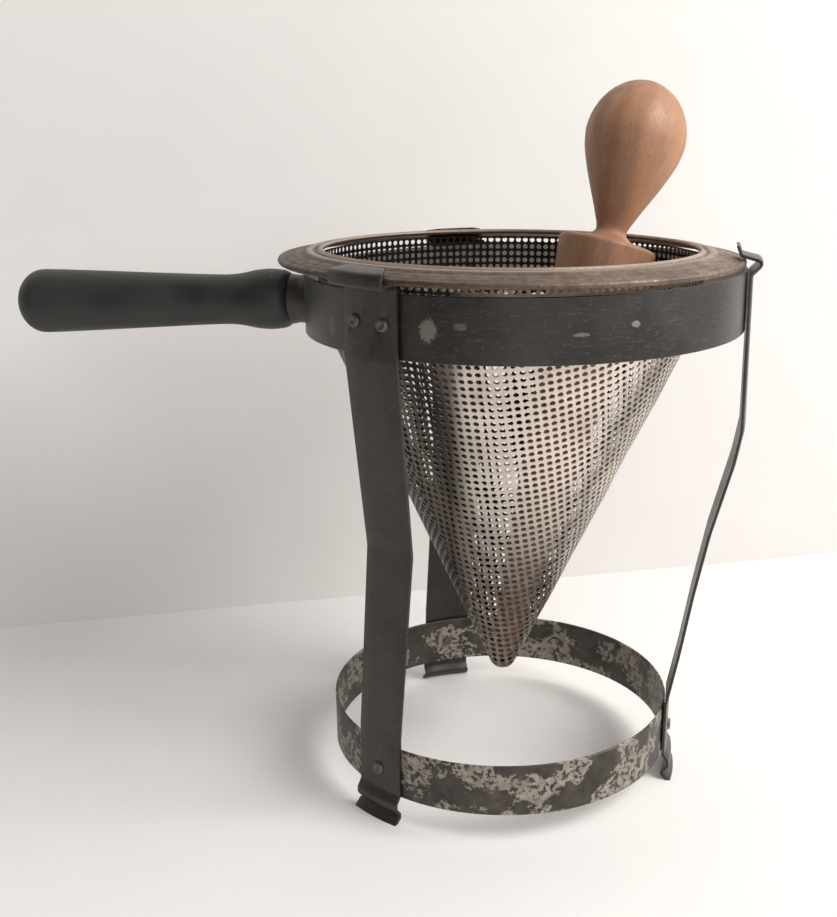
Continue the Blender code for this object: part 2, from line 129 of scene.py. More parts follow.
class RicerWood(bpy.types.PropertyGroup):
    paint: bpy.props.StringProperty(name="Paint colour", description="Paint on the handle, as a hex value",
                                    default="#1d211e")
    beech: bpy.props.StringProperty(name="Beech colour", description="Fresh side of the pestle, as a hex value",
                                    default="#b08261")
    grain: bpy.props.FloatProperty(name="Grain width", description="Width of a growth ring in the pestle",
                                   default=2.6 * MM, min=0.5 * MM, max=8.0 * MM, unit="LENGTH")


class RicerStage(bpy.types.PropertyGroup):
    backdrop: bpy.props.StringProperty(name="Backdrop colour", description="Pale wall and table, as a hex value",
                                       default="#eeebe9")
    distance: bpy.props.FloatProperty(name="Camera distance", description="From the stand's axis to the camera",
                                      default=0.537, min=0.3, max=5.0, unit="LENGTH")
    heading: bpy.props.FloatProperty(name="Camera heading", description="Where the camera stands, from the catch",
                                     default=radians(-81.0), subtype="ANGLE")


# ------------------------------------------------------------------------ materials

def linear(hex_value):
    """sRGB hex to the linear colour that a shader wants."""
    values = [int(hex_value[i:i + 2], 16) / 255.0 for i in (1, 3, 5)]
    return [v / 12.92 if v <= 0.04045 else ((v + 0.055) / 1.055) ** 2.4 for v in values] + [1.0]


def node(tree, kind, links=None, **settings):
    """Add one node: settings are its own fields, links its inputs, each a value or another node's output."""
    made = tree.nodes.new(kind)
    for name, value in settings.items():
        setattr(made, name, value)
    for name, value in (links or {}).items():
        if isinstance(value, bpy.types.NodeSocket):
            tree.links.new(value, made.inputs[name])
        else:
            made.inputs[name].default_value = value
    return made


def start_material(name):
    material = bpy.data.materials.new(name)
    material.use_nodes = True
    tree = material.node_tree
    coordinates = node(tree, "ShaderNodeTexCoord").outputs["Object"]
    return material, tree, tree.nodes["Principled BSDF"], coordinates


def turned_to(tree, coordinates, middle, axis):
    """Coordinates counted from middle, with Z along axis."""
    turn = Vector(axis).rotation_difference(UP).to_euler()
    moved = node(tree, "ShaderNodeVectorMath", {0: coordinates, 1: middle}, operation="SUBTRACT")
    return node(tree, "ShaderNodeMapping", {"Vector": moved.outputs[0], "Rotation": turn}).outputs[0]


def blotches(tree, coordinates, size, detail=4.0, low=0.4, high=0.6, roughness=0.55):
    """A mask from noise with features about size metres across, 0 below low and 1 above high."""
    made = node(tree, "ShaderNodeTexNoise", {"Vector": coordinates, "Scale": 1.0 / size, "Detail": detail,
                                             "Roughness": roughness})
    return node(tree, "ShaderNodeMapRange", {"Value": made.outputs["Fac"], "From Min": low, "From Max": high}
                ).outputs["Result"]


def worn_mark(tree, coordinates, spot, size):
    """A mask for one rubbed mark: spot is its middle, size its half extents along X, Y and Z."""
    away = node(tree, "ShaderNodeVectorMath", {0: coordinates, 1: spot}, operation="SUBTRACT").outputs[0]
    scaled = node(tree, "ShaderNodeVectorMath", {0: away, 1: size}, operation="DIVIDE").outputs[0]
    reach = node(tree, "ShaderNodeVectorMath", {0: scaled}, operation="LENGTH").outputs["Value"]
    ragged = node(tree, "ShaderNodeTexNoise", {"Vector": coordinates, "Scale": 900.0, "Detail": 3.0})
    spread = node(tree, "ShaderNodeMath", {0: ragged.outputs["Fac"], 1: 1.1, 2: reach},
                  operation="MULTIPLY_ADD").outputs[0]
    return node(tree, "ShaderNodeMapRange", {"Value": spread, "From Min": 1.65, "From Max": 1.35}).outputs["Result"]


def blackened_steel(name, colour, rubbed, marks=(), gloss=0.42, tinned_inside=None):
    """Mild steel strap, rolled and blackened: a dark satin skin with paler rubs, fine scratches and a few spots.

    A hoop that keeps its bright tin on the inside gives its middle and axis.
    """
    material, tree, shader, place = start_material(name)
    clouds = blotches(tree, place, 28.0 * MM, 5.0, 0.35, 0.7)
    specks = blotches(tree, place, 1.6 * MM, 3.0, 0.62, 0.72)
    # Wiping leaves scratches along the metal, finer than shows: they are drawn 0.6 mm wide.
    stretched = node(tree, "ShaderNodeVectorMath", {0: place, 1: (1.0, 1.0, 7.0)}, operation="MULTIPLY").outputs[0]
    scratches = blotches(tree, stretched, 5.0 * MM, 6.0, 0.56, 0.66, 0.75)
    dark, light = linear(colour), linear(rubbed)
    half_rubbed = [d * 0.78 + p * 0.22 for d, p in zip(dark, light)]
    tint = node(tree, "ShaderNodeMix", {0: clouds, 6: dark, 7: half_rubbed}, data_type="RGBA").outputs[2]
    scratches_share = node(tree, "ShaderNodeMath", {0: scratches, 1: 0.28}, operation="MULTIPLY").outputs[0]
    tint = node(tree, "ShaderNodeMix", {0: scratches_share, 6: tint, 7: light}, data_type="RGBA").outputs[2]
    specks_share = node(tree, "ShaderNodeMath", {0: specks, 1: 0.35}, operation="MULTIPLY").outputs[0]
    tint = node(tree, "ShaderNodeMix", {0: specks_share, 6: tint, 7: light}, data_type="RGBA").outputs[2]
    for spot, size, strength in marks:
        mark = node(tree, "ShaderNodeMath", {0: worn_mark(tree, place, spot, size), 1: strength},
                    operation="MULTIPLY").outputs[0]
        tint = node(tree, "ShaderNodeMix", {0: mark, 6: tint, 7: linear("#8d877d")}, data_type="RGBA").outputs[2]
    if tinned_inside:
        parts = node(tree, "ShaderNodeSeparateXYZ", {"Vector": turned_to(tree, place, *tinned_inside)})
        level = node(tree, "ShaderNodeCombineXYZ", {"X": parts.outputs["X"], "Y": parts.outputs["Y"]}).outputs[0]
        radius = node(tree, "ShaderNodeVectorMath", {0: level}, operation="LENGTH").outputs["Value"]
        back = node(tree, "ShaderNodeMapRange", {"Value": radius, "From Min": (BAND_RADIUS - 0.55) * MM,
                                                 "From Max": (BAND_RADIUS - 0.75) * MM}).outputs["Result"]
        tint = node(tree, "ShaderNodeMix", {0: back, 6: tint, 7: linear("#cfc8be")}, data_type="RGBA").outputs[2]
    tree.links.new(tint, shader.inputs["Base Color"])
    shader.inputs["Metallic"].default_value = 0.72
    shader.inputs["Coat Weight"].default_value = 0.5
    shader.inputs["Coat Roughness"].default_value = 0.36
    roughness = node(tree, "ShaderNodeMapRange", {"Value": clouds, "To Min": gloss,
                                                  "To Max": gloss + 0.16}).outputs["Result"]
    tree.links.new(roughness, shader.inputs["Roughness"])
    relief = node(tree, "ShaderNodeMath", {0: scratches, 1: clouds}, operation="ADD").outputs[0]
    bump = node(tree, "ShaderNodeBump", {"Height": relief, "Strength": 1.0, "Distance": 0.05 * MM})
    tree.links.new(bump.outputs[0], shader.inputs["Normal"])
    return material


def flaking_tin(name, colour, flake):
    """Steel hoop that was tinned: most of the tin has gone in ragged patches 5 to 20 mm across."""
    material, tree, shader, place = start_material(name)
    wobble = node(tree, "ShaderNodeTexNoise", {"Vector": place, "Scale": 160.0, "Detail": 4.0, "Roughness": 0.6})
    pushed = node(tree, "ShaderNodeVectorMath", {0: wobble.outputs["Color"], 1: (0.010, 0.010, 0.010)},
                  operation="MULTIPLY").outputs[0]
    moved = node(tree, "ShaderNodeVectorMath", {0: place, 1: pushed}, operation="ADD").outputs[0]
    squeezed = node(tree, "ShaderNodeVectorMath", {0: moved, 1: (1.0, 1.0, 1.5)}, operation="MULTIPLY").outputs[0]
    flakes = blotches(tree, squeezed, 21.0 * MM, 5.0, 0.49, 0.508, 0.62)
    pits = blotches(tree, place, 2.2 * MM, 4.0, 0.42, 0.5)
    flakes = node(tree, "ShaderNodeMath", {0: flakes, 1: pits}, operation="MULTIPLY").outputs[0]
    film = blotches(tree, place, 9.0 * MM, 4.0, 0.4, 0.7)
    under = node(tree, "ShaderNodeMix", {0: film, 6: linear(colour), 7: linear("#57514a")},
                 data_type="RGBA").outputs[2]
    old_tin = node(tree, "ShaderNodeMix", {0: blotches(tree, place, 4.0 * MM, 4.0, 0.3, 0.7), 6: linear(flake),
                                           7: linear("#857e74")}, data_type="RGBA").outputs[2]
    skin = node(tree, "ShaderNodeMix", {0: flakes, 6: under, 7: old_tin}, data_type="RGBA").outputs[2]
    tree.links.new(skin, shader.inputs["Base Color"])
    shader.inputs["Metallic"].default_value = 0.6
    roughness = node(tree, "ShaderNodeMapRange", {"Value": flakes, "To Min": 0.46, "To Max": 0.62}).outputs["Result"]
    tree.links.new(roughness, shader.inputs["Roughness"])
    film_share = node(tree, "ShaderNodeMath", {0: film, 1: 0.3}, operation="MULTIPLY").outputs[0]
    relief = node(tree, "ShaderNodeMath", {0: flakes, 1: film_share}, operation="ADD").outputs[0]
    bump = node(tree, "ShaderNodeBump", {"Height": relief, "Strength": 1.0, "Distance": 0.12 * MM})
    tree.links.new(bump.outputs[0], shader.inputs["Normal"])
    return material


def spun_rim(name, colour):
    """Tinned sheet spun into the rim, now brown with use: fine turned lines, stains, paler tops to the inner bead and
    ridge, and painted light and shade across it.
    """
    material, tree, shader, place = start_material(name)
    own = turned_to(tree, place, RIM_MIDDLE, SIEVE_AXIS)
    parts = node(tree, "ShaderNodeSeparateXYZ", {"Vector": own})
    level = node(tree, "ShaderNodeCombineXYZ", {"X": parts.outputs["X"], "Y": parts.outputs["Y"]}).outputs[0]
    radius = node(tree, "ShaderNodeVectorMath", {0: level}, operation="LENGTH").outputs["Value"]
    # Turned lines are finer than shows: they are drawn about 1.6 mm apart.
    line_place = node(tree, "ShaderNodeMath", {0: radius, 1: 620.0}, operation="MULTIPLY").outputs[0]
    lines = node(tree, "ShaderNodeTexNoise", {"W": line_place, "Scale": 1.0,
                                              "Detail": 3.0}, noise_dimensions="1D").outputs["Fac"]
    stains = blotches(tree, place, 30.0 * MM, 6.0, 0.36, 0.66, 0.62)
    mottle = blotches(tree, place, 3.2 * MM, 5.0, 0.4, 0.66, 0.7)
    # Fault, left in: the rim is painted paler towards one side. That imitates the light of a single view, along the
    # camera's own sideways direction, where the lights should do it.
    side = node(tree, "ShaderNodeVectorMath", {0: own, 1: SHADE_DIRECTION}, operation="DOT_PRODUCT"
                ).outputs["Value"]
    painted_light_side = node(tree, "ShaderNodeMapRange", {"Value": side, "From Min": -80.0 * MM, "From Max": 90.0 * MM}
                       ).outputs["Result"]
    painted_side_light_tint = node(tree, "ShaderNodeMix", {0: painted_light_side, 6: linear("#43372e"), 7: linear(colour)},
                data_type="RGBA").outputs[2]
    old = node(tree, "ShaderNodeMix", {0: stains, 6: painted_side_light_tint, 7: linear("#5f4e43")}, data_type="RGBA").outputs[2]
    mottle_share = node(tree, "ShaderNodeMath", {0: mottle, 1: 0.55}, operation="MULTIPLY").outputs[0]
    old = node(tree, "ShaderNodeMix", {0: mottle_share, 6: old, 7: linear("#453830")}, data_type="RGBA").outputs[2]
    line_mask = node(tree, "ShaderNodeMapRange", {"Value": lines, "From Min": 0.5, "From Max": 0.68}).outputs[0]
    line_mask_share = node(tree, "ShaderNodeMath", {0: line_mask, 1: 0.5}, operation="MULTIPLY").outputs[0]
    old = node(tree, "ShaderNodeMix", {0: line_mask_share, 6: old, 7: linear("#3c312a")}, data_type="RGBA").outputs[2]
    height = parts.outputs["Z"]
    # The tops of the inner bead and ridge are painted paler.
    crest = node(tree, "ShaderNodeMapRange", {"Value": height, "From Min": 3.55 * MM,
                                              "From Max": 3.95 * MM}).outputs[0]
    rubbed = node(tree, "ShaderNodeMath", {0: crest, 1: 0.5}, operation="MULTIPLY").outputs[0]
    skin = node(tree, "ShaderNodeMix", {0: rubbed, 6: old, 7: linear("#c4b4a6")}, data_type="RGBA").outputs[2]
    tree.links.new(skin, shader.inputs["Base Color"])
    shader.inputs["Metallic"].default_value = 0.6
    roughness = node(tree, "ShaderNodeMapRange", {"Value": mottle, "To Min": 0.40, "To Max": 0.58}).outputs["Result"]
    tree.links.new(roughness, shader.inputs["Roughness"])
    mottle_share = node(tree, "ShaderNodeMath", {0: mottle, 1: 0.8}, operation="MULTIPLY").outputs[0]
    relief = node(tree, "ShaderNodeMath", {0: lines, 1: mottle_share}, operation="ADD").outputs[0]
    bump = node(tree, "ShaderNodeBump", {"Height": relief, "Strength": 1.0, "Distance": 0.22 * MM})
    tree.links.new(bump.outputs[0], shader.inputs["Normal"])
    return material


def tinned_sheet(name, tin, dull_and_shade_tint, dull=0.0):
    """Hot-dipped tin on punched sheet: soft bright metal with a faint spangle, with painted shade towards the foot and
    on the inner face.
    """
    material, tree, shader, place = start_material(name)
    own = turned_to(tree, place, RIM_MIDDLE, SIEVE_AXIS)
    depth = node(tree, "ShaderNodeSeparateXYZ", {"Vector": own}).outputs["Z"]
    # Painted shade: the sheet is painted darker towards the foot of the cone, over random clouds of tone.
    low = node(tree, "ShaderNodeMapRange", {"Value": depth, "From Min": -80.0 * MM,
                                            "From Max": -145.0 * MM}).outputs[0]
    clouds = blotches(tree, place, 22.0 * MM, 5.0, 0.38, 0.68)
    spangle = blotches(tree, place, 3.0 * MM, 2.0, 0.4, 0.6)
    painted_low_shade_share = node(tree, "ShaderNodeMath", {0: low, 1: 0.95}, operation="MULTIPLY").outputs[0]
    clouds_share = node(tree, "ShaderNodeMath", {0: clouds, 1: 0.3}, operation="MULTIPLY").outputs[0]
    painted_shade_and_tone = node(tree, "ShaderNodeMath", {0: painted_low_shade_share, 1: clouds_share}, operation="MAXIMUM").outputs[0]
    shade_tone_and_dullness = node(tree, "ShaderNodeMath", {0: painted_shade_and_tone, 1: dull}, operation="ADD").outputs[0]
    tint = node(tree, "ShaderNodeMix", {0: shade_tone_and_dullness, 6: linear(tin), 7: linear(dull_and_shade_tint)}, data_type="RGBA").outputs[2]
    spangle_share = node(tree, "ShaderNodeMath", {0: spangle, 1: 0.12}, operation="MULTIPLY").outputs[0]
    tint = node(tree, "ShaderNodeMix", {0: spangle_share, 6: tint, 7: linear("#f2ebe2")}, data_type="RGBA").outputs[2]
    # Painted shade: the inner face is painted dark, where the inside of the cone and collar lies in shade.
    inner = node(tree, "ShaderNodeVectorMath", {0: own, 1: (1.0, 1.0, 0.0)}, operation="MULTIPLY").outputs[0]
    outward = node(tree, "ShaderNodeVectorMath", {0: inner}, operation="NORMALIZE").outputs[0]
    facing = node(tree, "ShaderNodeNewGeometry").outputs["Normal"]
    away = node(tree, "ShaderNodeVectorMath", {0: facing, 1: outward}, operation="DOT_PRODUCT").outputs["Value"]
    inside = node(tree, "ShaderNodeMapRange", {"Value": away, "From Min": 0.2, "From Max": -0.2}).outputs["Result"]
    # Fault, left in: the outer face is painted darker on one side. That imitates the shade of a single view, along
    # the camera's own sideways direction, where the lights should do it.
    side = node(tree, "ShaderNodeVectorMath", {0: own, 1: SHADE_DIRECTION}, operation="DOT_PRODUCT"
                ).outputs["Value"]
    far_side = node(tree, "ShaderNodeMapRange", {"Value": side, "From Min": -16.0 * MM, "From Max": -22.0 * MM,
                                                 "To Max": 0.85}).outputs["Result"]
    skin = node(tree, "ShaderNodeMix", {0: far_side, 6: tint, 7: linear("#453d36")}, data_type="RGBA").outputs[2]
    tint = node(tree, "ShaderNodeMix", {0: inside, 6: skin, 7: linear("#2c2622")}, data_type="RGBA").outputs[2]
    tree.links.new(tint, shader.inputs["Base Color"])
    shader.inputs["Metallic"].default_value = 0.9
    roughness = node(tree, "ShaderNodeMapRange", {"Value": clouds, "To Min": 0.3 + dull * 0.3,
                                                  "To Max": 0.44 + dull * 0.3}).outputs["Result"]
    tree.links.new(roughness, shader.inputs["Roughness"])
    bump = node(tree, "ShaderNodeBump", {"Height": clouds, "Strength": 1.0, "Distance": 0.3 * MM})
    tree.links.new(bump.outputs[0], shader.inputs["Normal"])
    return material


def worn_paint(name, colour):
    """Dark oil paint brushed on wood: a dull gloss, faint brush ridges, and chips that show a paler ground."""
    material, tree, shader, place = start_material(name)
    long_way = node(tree, "ShaderNodeVectorMath", {0: place, 1: (0.12, 1.0, 1.0)}, operation="MULTIPLY").outputs[0]
    brush = blotches(tree, long_way, 1.4 * MM, 3.0, 0.3, 0.7)
    clouds = blotches(tree, place, 24.0 * MM, 4.0, 0.35, 0.7)
    chips = blotches(tree, place, 3.4 * MM, 5.0, 0.705, 0.725, 0.7)
    tint = node(tree, "ShaderNodeMix", {0: clouds, 6: linear(colour), 7: linear("#2b302b")},
                data_type="RGBA").outputs[2]
    chips_share = node(tree, "ShaderNodeMath", {0: chips, 1: 0.7}, operation="MULTIPLY").outputs[0]
    tint = node(tree, "ShaderNodeMix", {0: chips_share, 6: tint, 7: linear("#8f8b80")}, data_type="RGBA").outputs[2]
    tree.links.new(tint, shader.inputs["Base Color"])
    shader.inputs["IOR"].default_value = 1.5
    roughness = node(tree, "ShaderNodeMapRange", {"Value": clouds, "To Min": 0.40, "To Max": 0.58}).outputs["Result"]
    tree.links.new(roughness, shader.inputs["Roughness"])
    brush_share = node(tree, "ShaderNodeMath", {0: brush, 1: 0.35}, operation="MULTIPLY").outputs[0]
    relief = node(tree, "ShaderNodeMath", {0: brush_share, 1: chips}, operation="SUBTRACT").outputs[0]
    bump = node(tree, "ShaderNodeBump", {"Height": relief, "Strength": 1.0, "Distance": 0.10 * MM})
    tree.links.new(bump.outputs[0], shader.inputs["Normal"])
    return material


def oiled_beech(name, colour, grain):
    """Turned beech: growth rings drawn out along the axis, with short dark flecks and grease where hands hold it."""
    material, tree, shader, place = start_material(name)
    own = turned_to(tree, place, PESTLE_FOOT, PESTLE_AXIS)
    off_heart = node(tree, "ShaderNodeVectorMath", {0: own, 1: (31.0 * MM, 12.0 * MM, 0.0)},
                     operation="ADD").outputs[0]
    drawn = node(tree, "ShaderNodeVectorMath", {0: off_heart, 1: (1.0, 1.0, 0.05)}, operation="MULTIPLY").outputs[0]
    rings = node(tree, "ShaderNodeTexWave", {"Vector": drawn, "Scale": 1.0 / (grain * 20.0) * 1.6, "Distortion": 2.2,
                                             "Detail": 3.0, "Detail Scale": 2.0},
                 wave_type="RINGS", rings_direction="Z").outputs["Fac"]
    short = node(tree, "ShaderNodeVectorMath", {0: own, 1: (1.0, 1.0, 0.14)}, operation="MULTIPLY").outputs[0]
    # The flecks are rays about 0.3 mm wide; at 0.7 mm they still show.
    flecks = blotches(tree, short, 0.7 * MM, 2.0, 0.56, 0.7)
    streaks = blotches(tree, drawn, 7.0 * MM, 4.0, 0.35, 0.7)
    stains = blotches(tree, own, 34.0 * MM, 5.0, 0.42, 0.75)
    rings_share = node(tree, "ShaderNodeMath", {0: rings, 1: 0.38}, operation="MULTIPLY").outputs[0]
    tint = node(tree, "ShaderNodeMix", {0: rings_share, 6: linear(colour), 7: linear("#94694d")},
                data_type="RGBA").outputs[2]
    streaks_share = node(tree, "ShaderNodeMath", {0: streaks, 1: 0.5}, operation="MULTIPLY").outputs[0]
    tint = node(tree, "ShaderNodeMix", {0: streaks_share, 6: tint, 7: linear("#86604a")}, data_type="RGBA").outputs[2]
    flecks_share = node(tree, "ShaderNodeMath", {0: flecks, 1: 0.4}, operation="MULTIPLY").outputs[0]
    tint = node(tree, "ShaderNodeMix", {0: flecks_share, 6: tint, 7: linear("#6d4a36")}, data_type="RGBA").outputs[2]
    stains_share = node(tree, "ShaderNodeMath", {0: stains, 1: 0.55}, operation="MULTIPLY").outputs[0]
    tint = node(tree, "ShaderNodeMix", {0: stains_share, 6: tint, 7: linear("#5c443a")}, data_type="RGBA").outputs[2]
    tree.links.new(tint, shader.inputs["Base Color"])
    shader.inputs["IOR"].default_value = 1.5
    roughness = node(tree, "ShaderNodeMapRange", {"Value": streaks, "To Min": 0.46, "To Max": 0.62}).outputs["Result"]
    tree.links.new(roughness, shader.inputs["Roughness"])
    relief = node(tree, "ShaderNodeMath", {0: flecks, 1: rings}, operation="ADD").outputs[0]
    bump = node(tree, "ShaderNodeBump", {"Height": relief, "Strength": 1.0, "Distance": 0.05 * MM})
    tree.links.new(bump.outputs[0], shader.inputs["Normal"])
    return material


def painted_board(name, colour, one_sided=False):
    """Matt wall paint on board, with the faint unevenness of a roller. One-sided board is clear from its back."""
    material, tree, shader, place = start_material(name)
    soft = blotches(tree, place, 60.0 * MM, 2.0, 0.2, 0.8)
    shade = [value * 0.97 for value in linear(colour)[:3]] + [1.0]
    skin = node(tree, "ShaderNodeMix", {0: soft, 6: linear(colour), 7: shade}, data_type="RGBA").outputs[2]
    tree.links.new(skin, shader.inputs["Base Color"])
    shader.inputs["Roughness"].default_value = 0.8
    if one_sided:
        clear = node(tree, "ShaderNodeBsdfTransparent").outputs[0]
        from_back = node(tree, "ShaderNodeNewGeometry").outputs["Backfacing"]
        blend = node(tree, "ShaderNodeMixShader", {0: from_back, 1: shader.outputs[0], 2: clear})
        tree.links.new(blend.outputs[0], tree.nodes["Material Output"].inputs["Surface"])
    return material


# ------------------------------------------------------------------- ways of making

def deselect():
    if bpy.context.object and bpy.context.object.mode != "OBJECT":
        bpy.ops.object.mode_set(mode="OBJECT")
    bpy.ops.object.select_all(action="DESELECT")


def only(item):
    deselect()
    item.select_set(True)
    bpy.context.view_layer.objects.active = item


def finish_piece(item, material, body, replaced=(), angle=32.0):
    """Freeze the piece where it stands, smooth it, and tie it to its body."""
    only(item)
    bpy.ops.object.transform_apply(location=True, rotation=True, scale=True)
    bpy.ops.object.shade_smooth_by_angle(angle=radians(angle))
    item.data.materials.clear()
    item.data.materials.append(material)
    if body:
        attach(item, body)
    if replaced:
        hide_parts(*replaced)


def apply_modifier(item, kind, **settings):
    only(item)
    added = item.modifiers.new(kind.lower(), kind)
    for name, value in settings.items():
        setattr(added, name, value)
    bpy.ops.object.modifier_apply(modifier=added.name)


def drop_faces(item, unwanted):
    """Delete the faces that unwanted picks, with the edges and corners that only they use."""
    only(item)
    bpy.ops.object.mode_set(mode="EDIT")
    bpy.ops.mesh.select_mode(type="FACE")
    bpy.ops.mesh.select_all(action="DESELECT")
    bpy.ops.object.mode_set(mode="OBJECT")
    for face in item.data.polygons:
        face.select = unwanted(face)
    bpy.ops.object.mode_set(mode="EDIT")
    bpy.ops.mesh.delete(type="FACE")
    bpy.ops.mesh.select_mode(type="VERT")
    bpy.ops.object.mode_set(mode="OBJECT")


def draw_line(name, points):
    """A line of edges: one corner of a plane is kept and drawn out from point to point."""
    deselect()
    bpy.ops.mesh.primitive_plane_add(size=MM, location=(0.0, 0.0, 0.0))
    item = bpy.context.object
    item.name = item.data.name = name
    bpy.ops.object.mode_set(mode="EDIT")
    bpy.ops.mesh.select_all(action="SELECT")
    bpy.ops.mesh.merge(type="CENTER")
    bpy.ops.transform.translate(value=points[0])
    for here, there in zip(points, points[1:]):
        step = Vector(there) - Vector(here)
        bpy.ops.mesh.extrude_region_move(TRANSFORM_OT_translate={"value": step})
    bpy.ops.object.mode_set(mode="OBJECT")
    return item


def spin_up(name, outline, steps, closed=False):
    """Turn a (radius, height) outline in millimetres about Z, as on a lathe."""
    line = [(radius * MM, 0.0, height * MM) for radius, height in outline]
    if closed:
        line.append(line[0])
    item = draw_line(name, line)
    bpy.ops.object.mode_set(mode="EDIT")
    bpy.ops.mesh.select_all(action="SELECT")
    bpy.ops.mesh.spin(steps=steps, angle=2.0 * pi, center=(0.0, 0.0, 0.0), axis=(0.0, 0.0, 1.0))
    bpy.ops.mesh.select_all(action="SELECT")
    bpy.ops.mesh.remove_doubles(threshold=0.002 * MM)
    bpy.ops.mesh.normals_make_consistent(inside=False)
    bpy.ops.object.mode_set(mode="OBJECT")
    return item


def put(item, middle, axis):
    """Stand the piece at middle with its own Z along axis."""
    item.rotation_mode = "QUATERNION"
    item.rotation_quaternion = UP.rotation_difference(Vector(axis).normalized())
    item.location = middle
    only(item)
    bpy.ops.object.transform_apply(location=True, rotation=True, scale=True)


def arc(centre, radius, start, stop, steps):
    return [(centre[0] + radius * cos(radians(start + (stop - start) * i / steps)),
             centre[1] + radius * sin(radians(start + (stop - start) * i / steps))) for i in range(steps + 1)]


def smooth_curve(knots, steps):
    """Catmull-Rom curve through the knots."""
    padded = [knots[0]] + list(knots) + [knots[-1]]
    points = []
    for p0, p1, p2, p3 in zip(padded, padded[1:], padded[2:], padded[3:]):
        for k in range(steps):
            t = k / steps
            points.append(tuple(0.5 * (2 * b + (c - a) * t + (2 * a - 5 * b + 4 * c - d) * t ** 2
                                       + (3 * b - a - 3 * c + d) * t ** 3) for a, b, c, d in zip(p0, p1, p2, p3)))
    points.append(tuple(knots[-1]))
    return points


def sinking(tilt):
    """The upright axis of a hoop that sinks by an angle towards a heading."""
    amount, heading = tilt
    return (UP + Vector((cos(radians(heading)), sin(radians(heading)), 0.0)) * tan(radians(amount))).normalized()


def copy_of(nodes, name):
    """One merged copy of some CAD nodes."""
    copies = []
    for label in nodes:
        source = frame["nodes"][label]
        twin = bpy.data.objects.new(name, source.data.copy())
        bpy.context.scene.collection.objects.link(twin)
        copies.append(twin)
    deselect()
    for twin in copies:
        twin.select_set(True)
    bpy.context.view_layer.objects.active = copies[0]
    if len(copies) > 1:
        bpy.ops.object.join()
    item = bpy.context.object
    item.name = item.data.name = name
    bpy.ops.object.mode_set(mode="EDIT")
    bpy.ops.mesh.select_all(action="SELECT")
    bpy.ops.mesh.remove_doubles(threshold=0.004 * MM)
    bpy.ops.mesh.customdata_custom_splitnormals_clear()
    bpy.ops.mesh.tris_convert_to_quads(face_threshold=radians(10.0), shape_threshold=radians(60.0))
    bpy.ops.object.mode_set(mode="OBJECT")
    return item


# --------------------------------------------------------------------------- sieve

def punched_cells(name, pitch, hole, across, along):
    """A flat field of square cells, each with one round hole."""
    deselect()
    bpy.ops.mesh.primitive_plane_add(size=pitch, location=(0.0, 0.0, 0.0))
    item = bpy.context.object
    item.name = item.data.name = name
    bpy.ops.object.mode_set(mode="EDIT")
    bpy.ops.mesh.select_mode(type="FACE")
    bpy.ops.mesh.select_all(action="SELECT")
    bpy.ops.mesh.inset(thickness=(pitch - hole) / 2.0 + 0.1 * MM)
    bpy.ops.mesh.select_mode(type="EDGE")
    bpy.ops.mesh.subdivide(number_cuts=1)
    bpy.ops.mesh.select_mode(type="VERT")
    bpy.ops.object.mode_set(mode="OBJECT")
    ring = [v for v in item.data.vertices if max(abs(v.co.x), abs(v.co.y)) < pitch * 0.49]
    for vert in ring:
        if vert.co.length < hole * 0.1:
            continue
        vert.co = vert.co.normalized() * hole / 2.0
    drop_faces(item, lambda face: face.center.length < hole * 0.45)
    for count, offset in ((across, (1.0, 0.0, 0.0)), (along, (0.0, 1.0, 0.0))):
        apply_modifier(item, "ARRAY", count=count, relative_offset_displace=offset, use_merge_vertices=True,
                       merge_threshold=0.01 * MM)
    return item


def cut_away(item, point, outward):
    """Cut the piece by a plane and drop what lies on the side that outward points to."""
    only(item)
    bpy.ops.object.mode_set(mode="EDIT")
    bpy.ops.mesh.select_all(action="SELECT")
    bpy.ops.mesh.bisect(plane_co=point, plane_no=outward, clear_outer=True, use_fill=False)
    bpy.ops.object.mode_set(mode="OBJECT")


def hand_dents(spot, deep):
    """Slow waves left by hammering the sheet round a former."""
    return deep * noise.noise(Vector(spot) * 38.0) + deep * 0.5 * noise.noise(Vector(spot) * 95.0 + Vector((7, 3, 1)))


